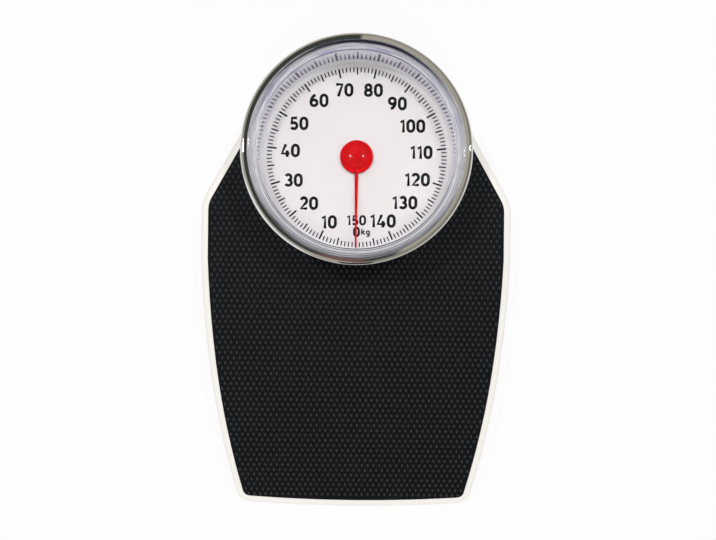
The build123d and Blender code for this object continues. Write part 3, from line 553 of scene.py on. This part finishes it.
def bow(cx, cy, rx, ry, start, end, steps=14):
    # points on an oval arc between two angles in degrees
    turns = (radians(start + (end - start) * k / steps) for k in range(steps + 1))
    return [(cx + rx * cos(t), cy + ry * sin(t)) for t in turns]


def loop(cx, cy, rx, ry):
    return bow(cx, cy, rx, ry, 0, 360, steps=24)


# Each figure's width and the middle lines of its strokes, in a box one unit high
figures = {
    "0": (0.66, [
        bow(0.33, 0.63, 0.235, 0.28, 0, 180) + bow(0.33, 0.37, 0.235, 0.28, 180, 360) + [(0.565, 0.63)],
    ]),
    "1": (0.42, [[(0.07, 0.76), (0.29, 0.915), (0.29, 0.0)]]),
    "2": (0.64, [
        bow(0.32, 0.68, 0.22, 0.235, 165, -35) + [(0.1, 0.09), (0.58, 0.09)],
    ]),
    "3": (0.64, [
        bow(0.31, 0.7, 0.2, 0.215, 155, -85) + bow(0.31, 0.295, 0.235, 0.205, 85, -155),
    ]),
    "4": (0.68, [[(0.38, 0.97), (0.08, 0.26), (0.66, 0.26)], [(0.48, 0.5), (0.48, 0.0)]]),
    "5": (0.64, [
        [(0.55, 0.91), (0.17, 0.91), (0.13, 0.5)] + bow(0.31, 0.32, 0.235, 0.235, 130, -150),
    ]),
    "6": (0.66, [loop(0.33, 0.315, 0.235, 0.225), bow(0.52, 0.33, 0.425, 0.58, 175, 100)]),
    "7": (0.6, [[(0.04, 0.91), (0.53, 0.91), (0.22, 0.0)]]),
    "8": (0.66, [loop(0.33, 0.705, 0.2, 0.205), loop(0.33, 0.295, 0.235, 0.205)]),
    "9": (0.66, [loop(0.33, 0.685, 0.235, 0.225), bow(0.14, 0.67, 0.425, 0.58, -5, -80)]),
    "k": (0.5, [[(0.1, 1.0), (0.1, 0.25)], [(0.45, 0.75), (0.12, 0.49)], [(0.22, 0.57), (0.47, 0.25)]]),
    "g": (0.5, [
        loop(0.25, 0.51, 0.17, 0.2),
        [(0.42, 0.75), (0.42, 0.2)] + bow(0.26, 0.2, 0.16, 0.16, 0, -150),
    ]),
}


def printedWord(word, spot, height, thickness):
    # figures drawn as flat ribbons along their middle lines, set down on the dial plate
    curve = bpy.data.curves.new("word", "CURVE")
    curve.dimensions = "3D"
    curve.bevel_depth = thickness / 2
    curve.bevel_resolution = 1
    curve.use_fill_caps = True
    width = sum(figures[letter][0] for letter in word) + dialPrint["gap"] * (len(word) - 1)
    x = -width / 2
    for letter in word:
        for stroke in figures[letter][1]:
            line = curve.splines.new("POLY")
            line.points.add(len(stroke) - 1)
            for point, (px, py) in zip(line.points, stroke):
                point.co = (x + px, py - 0.5, 0, 1)
        x += figures[letter][0] + dialPrint["gap"]
    holder = bpy.data.objects.new("word", curve)
    scene.collection.objects.link(holder)
    bpy.context.view_layer.update()
    mesh = bpy.data.meshes.new_from_object(holder)
    bpy.data.objects.remove(holder)
    shape = bmesh.new()
    shape.from_mesh(mesh)
    bpy.data.meshes.remove(mesh)
    half = curve.bevel_depth
    for v in shape.verts:
        v.co = Vector((
            dialCentre.x + (spot[0] + v.co.x * height) * mm,
            dialCentre.y + (spot[1] + v.co.y * height) * mm,
            (dialPrint["top"] + (v.co.z / half + 1) / 2 * dialPrint["thickness"]) * mm,
        ))
    return shape


makePiece("dialTicks", tickRing(), finishes["ink"], "base", sharp=0)
words = [printedWord(w, at, dialPrint["digitHeight"], dialPrint["stroke"]) for w, at in numberPlaces.items()]
words += [printedWord(w, at, dialPrint["smallHeight"], dialPrint["stroke"]) for w, at in smallPlaces.items()]
makePiece("dialNumbers", join(words), finishes["ink"], "base", sharp=0)
unit = printedWord("kg", dialPrint["unitPlace"], dialPrint["unitHeight"], dialPrint["thinStroke"])
makePiece("dialUnit", unit, finishes["lightInk"], "base", sharp=0)
print("stage: printed scale")

# Pimples on the mat: staggered rows of small upright ovals
pimples = {
    "pitch": 5.7,
    "row": 5.12,
    "shift": 1.4,
    "width": 2.3,
    "length": 3.5,
    "height": 0.85,
    "edge": 2.1,
    "segments": 8,
    "rings": 4,
    "above": 60,
    "upright": 0.9,
}


def pimpleBall():
    # one ball a unit across, copied for every pimple
    ball = bmesh.new()
    bmesh.ops.create_uvsphere(
        ball, u_segments=pimples["segments"], v_segments=pimples["rings"], radius=0.5
    )
    mesh = bpy.data.meshes.new("pip")
    ball.to_mesh(mesh)
    ball.free()
    return mesh


def matPimples():
    # a pimple wherever the mat is flat and whole for some way round its place
    skin = bmesh.new()
    skin.from_mesh(nodes["rubber_mat"].data)
    tree = BVHTree.FromBMesh(skin)
    skin.free()
    low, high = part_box("rubber_mat")
    rows = int((high.y - low.y) / (pimples["row"] * mm)) + 1
    columns = int((high.x - low.x) / (pimples["pitch"] * mm)) + 2
    size = (pimples["width"] * mm, pimples["length"] * mm, 2 * pimples["height"] * mm, 1)
    edge, above, down = pimples["edge"] * mm, pimples["above"] * mm, Vector((0, 0, -1))
    around = [(0, 0), (edge, 0), (-edge, 0), (0, edge), (0, -edge)]
    ball = pimpleBall()
    lines = []
    for row in range(rows):
        y = low.y + (pimples["shift"] + row * pimples["row"]) * mm
        line = bmesh.new()
        for column in range(-columns // 2, columns // 2 + 1):
            x = (column + 0.5 * (row % 2)) * pimples["pitch"] * mm
            hits = [tree.ray_cast(Vector((x + dx, y + dy, above)), down) for dx, dy in around]
            if any(hit[0] is None or hit[1].z < pimples["upright"] for hit in hits):
                continue
            spot, normal = hits[0][0], hits[0][1]
            lean = Vector((0, 0, 1)).rotation_difference(normal).to_matrix().to_4x4()
            where = Matrix.Translation(spot) @ lean @ Matrix.Diagonal(size)
            line.from_mesh(ball)
            bmesh.ops.transform(line, matrix=where, verts=line.verts[:][-len(ball.vertices):])
        lines.append(line)
    bpy.data.meshes.remove(ball)
    return join(lines)


makePiece("matPimples", matPimples(), finishes["pips"], "platform", sharp=0)
print("stage: mat")

# Springs: real coils in place of the plain sleeves
coils = {
    "main": {"wire": 2.4, "turns": 7.5, "gap": 0.3, "steps": 22, "hold": 3},
    "back": {"wire": 0.9, "turns": 9.5, "gap": 0.1, "steps": 18, "keep": 0.69},
    "segments": 10,
    "sharp": 50,
}


def coil(name, node, body, setting):
    low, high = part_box(node)
    wire, gap = setting["wire"] * mm, setting["gap"] * mm
    axis = Vector(((low.x + high.x) / 2, (low.y + high.y) / 2, low.z + gap + wire / 2))
    radius = (high.x - low.x) / 2 - wire / 2
    climb = (high.z - low.z - 2 * gap - wire) / (setting["turns"] * setting["steps"])
    shape = bmesh.new()
    start = Matrix.Translation(axis + Vector((radius, 0, 0))) @ Matrix.Rotation(pi / 2, 4, "X")
    bmesh.ops.create_circle(
        shape, cap_ends=False, segments=coils["segments"], radius=wire / 2, matrix=start
    )
    bmesh.ops.spin(
        shape,
        geom=shape.verts[:] + shape.edges[:],
        cent=axis,
        axis=(0, 0, 1),
        dvec=(0, 0, climb),
        angle=2 * pi * setting["turns"],
        steps=int(setting["turns"] * setting["steps"]),
    )
    bmesh.ops.holes_fill(shape, edges=shape.edges)
    piece = makePiece(name, shape, finishes["spring_steel"], body, coils["sharp"])
    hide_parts(node)
    return piece, low, high


spring, low, high = coil("mainCoil", "main_spring", None, coils["main"])
middle, hold = (low + high) / 2, coils["main"]["hold"] * mm
upper = (middle.x, middle.y, high.z - hold)
lower = (middle.x, middle.y, low.z + hold)
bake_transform(spring)
spring, low, high = coil("returnCoil", "return_spring", "base", coils["back"])
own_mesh(spring)
print("stage: springs")

# Camera straight above, at the photograph's place
view = {
    "height": 0.458,
    "x": 0.0024,
    "y": 0.01655,
    "roll": 0.6,
    "focalPixels": 418.7,
    "pictureWidth": 716,
    "sensor": 36,
    "nearest": 0.01,
}
eye = bpy.data.cameras.new("camera")
eye.sensor_width = view["sensor"]
eye.lens = view["focalPixels"] / view["pictureWidth"] * view["sensor"]
eye.clip_start = view["nearest"]
camera = bpy.data.objects.new("camera", eye)
camera.location = (view["x"], view["y"], view["height"])
camera.rotation_euler = (0, 0, radians(view["roll"]))
scene.collection.objects.link(camera)
scene.camera = camera

# Pale floor, shown nearly white to the camera
ground = {"size": 30, "drop": 0.2, "colour": (0.93, 0.93, 0.93), "rough": 0.8, "shown": 0.85}
floorShape = bmesh.new()
bmesh.ops.create_grid(floorShape, x_segments=1, y_segments=1, size=ground["size"])
floorMesh = bpy.data.meshes.new("floor")
floorShape.to_mesh(floorMesh)
floorShape.free()
floor = bpy.data.objects.new("floor", floorMesh)
floor.location = (0, 0, -ground["drop"] * mm)
scene.collection.objects.link(floor)
pale = Finish(
    "paleFloor", Base_Color=ground["colour"], Roughness=ground["rough"], Specular_IOR_Level=0.0
)
white = pale.add("Emission", None, {"Color": (1, 1, 1), "Strength": 1.0})
pale.mixIn(ground["shown"] * pale.add("LightPath", out="Is Camera Ray"), white)
floorMesh.materials.append(pale.material)

# Room: soft light everywhere, and for bright metal a room to mirror, as seen from the dial
room = {
    "ambient": (0.51, 0.51, 0.51),
    "throughLens": (0.1, 0.1, 0.1),
    "footLight": (0.42, 0.42, 0.45),
    "ceiling": (0.04, 0.04, 0.04),
    "left": (0.42, 0.40, 0.34),
    "right": (0.048, 0.056, 0.050),
    "rightLow": (0.36, 0.35, 0.30),
    "behind": (0.055, 0.06, 0.07),
    "dusk": (0.20, 0.10, 0.095),
    "front": (0.03, 0.014, 0.012),
    "window": (1.0, 1.0, 1.02),
    "backdrop": (1.0, 1.0, 1.0),
}
# where each part of the room begins and is whole, by direction
roomEdges = {
    "raised": (0.38, 0.5),
    "tall": (0.5, 0.6), "tallLean": 0.35,
    "right": (-0.045, -0.02),
    "behind": (0.42, 0.52), "behindLean": 1.5,
    "duskAlong": (0.45, 0.6), "duskLeft": (-0.07, -0.02), "duskRight": (0.2, 0.14),
    "frontAlong": (-0.55, -0.65), "frontAcross": (0.2, 0.15), "frontUpward": (0.7, 0.6),
    "windowAcross": (-0.45, -0.6), "windowAlong": (0.05, -0.1),
    "ceilingUpward": (0.84, 0.875), "ceilingAlong": (-0.04, 0.0), "ceilingAcross": (0.33, 0.28),
    "undimmed": (0.5, 0.4),
}
world = bpy.data.worlds.new("studio")
world.use_nodes = True
scene.world = world
sky = Recipe(world.node_tree)


def past(edge, value):
    # 0 before the edge of that name, 1 past it
    return sky.step(value, *roomEdges[edge])


def ray(kind):
    return sky.add("LightPath", out=kind)


across, along, upward = sky.split(sky.add("TexCoord", out="Generated"), "XYZ")
raised = past("raised", upward)
tall = raised * past("tall", upward + roomEdges["tallLean"] * along)
behind = raised * past("behind", along - roomEdges["behindLean"] * abs(across))
dusk = raised * (past("duskAlong", along) * past("duskLeft", across) * past("duskRight", across))
front = past("frontAlong", along) * past("frontAcross", abs(across)) * past("frontUpward", upward)
window = past("windowAcross", across) * past("windowAlong", along) * (1 - raised)
ceiling = past("ceilingUpward", upward) * past("ceilingAlong", along) * past("ceilingAcross", abs(across))
rightWall = sky.blend(tall, room["rightLow"], room["right"])
walls = sky.blend(past("right", across), room["left"], rightWall)
layers = {"behind": behind, "dusk": dusk, "front": front, "window": window, "ceiling": ceiling}
for name, share in layers.items():
    walls = sky.blend(share, walls, room[name])
through = ray("Is Transmission Ray")
light = sky.blend(ray("Is Glossy Ray"), room["ambient"], sky.blend(through, walls, room["throughLens"]))
# what the eye meets through the clear foot of the lens, without a stop on the dial
straight = past("undimmed", ray("Diffuse Depth")) * through
light = sky.blend(straight, light, sky.blend(ceiling, room["footLight"], room["ceiling"]))
light = sky.blend(ray("Is Camera Ray"), light, room["backdrop"])
sky.put(world.node_tree.nodes["Background"].inputs["Color"], light)

# Lamps: two small ones behind the dial, and a broad one over the near end that metal doesn't mirror
lamps = {
    "lampLeft": {"place": (-0.6, 0.4824, 1.25), "energy": 3.8, "size": 0.055, "mirrored": True},
    "lampRight": {"place": (0.6, 0.4824, 1.25), "energy": 3.8, "size": 0.055, "mirrored": True},
    "lampFront": {"place": (0, -0.75, 1.1), "energy": 4.0, "size": 0.4, "mirrored": False},
}
for name, setting in lamps.items():
    lampData = bpy.data.lights.new(name, "AREA")
    lampData.energy = setting["energy"]
    lampData.size = setting["size"]
    lamp = bpy.data.objects.new(name, lampData)
    lamp.location = setting["place"]
    lamp.visible_transmission = False
    lamp.visible_glossy = setting["mirrored"]
    lamp.rotation_euler = (dialCentre - lamp.location).to_track_quat("-Z", "Y").to_euler()
    scene.collection.objects.link(lamp)

scene.view_settings.view_transform = "Standard"
print("stage: camera and light")
